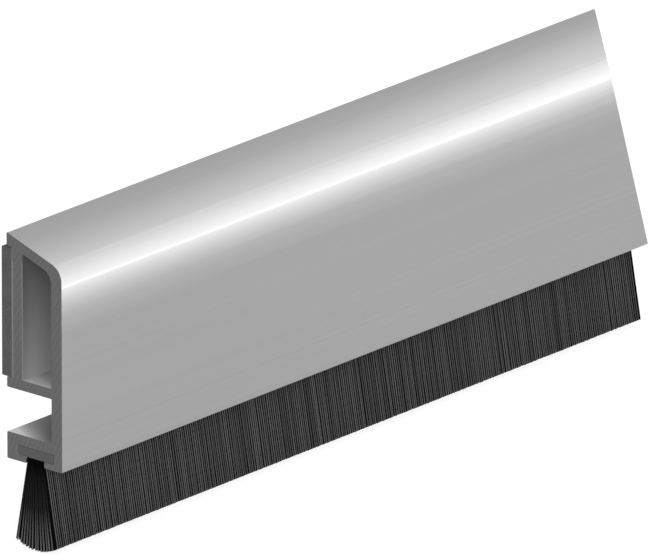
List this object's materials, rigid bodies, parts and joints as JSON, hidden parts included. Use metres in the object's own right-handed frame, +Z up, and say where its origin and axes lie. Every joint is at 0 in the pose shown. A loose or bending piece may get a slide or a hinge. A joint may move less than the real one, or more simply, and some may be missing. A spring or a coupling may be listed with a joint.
{
  "type": "door bottom seal strip",
  "caption": "Short length of hollow aluminium carrier with foam tape on its back and a fanned black brush hanging from a channel in its foot, to seal the gap under a door.",
  "frame": {"origin": "centre of the outer face of the adhesive tape, the face that is stuck to the door", "axes": "+X along the strip towards its raked end, +Y into the door, so -Y is the front that faces the room, +Z up"},
  "size_m": [0.1254, 0.0109, 0.0453],
  "materials": {
    "satin_aluminium": "satin mill finish with fine die lines along the strip, sawn ends",
    "grey_foam": "dark grey closed-cell foam with fine pores",
    "backing_plastic": "matte dark grey extruded plastic",
    "black_bristle": "black nylon filaments with a soft sheen"
  },
  "bodies": {
    "root": {"carrier_profile": "satin_aluminium", "adhesive_tape": "grey_foam", "brush_backing": "backing_plastic", "bristles": "black_bristle"}
  },
  "joints": []
}
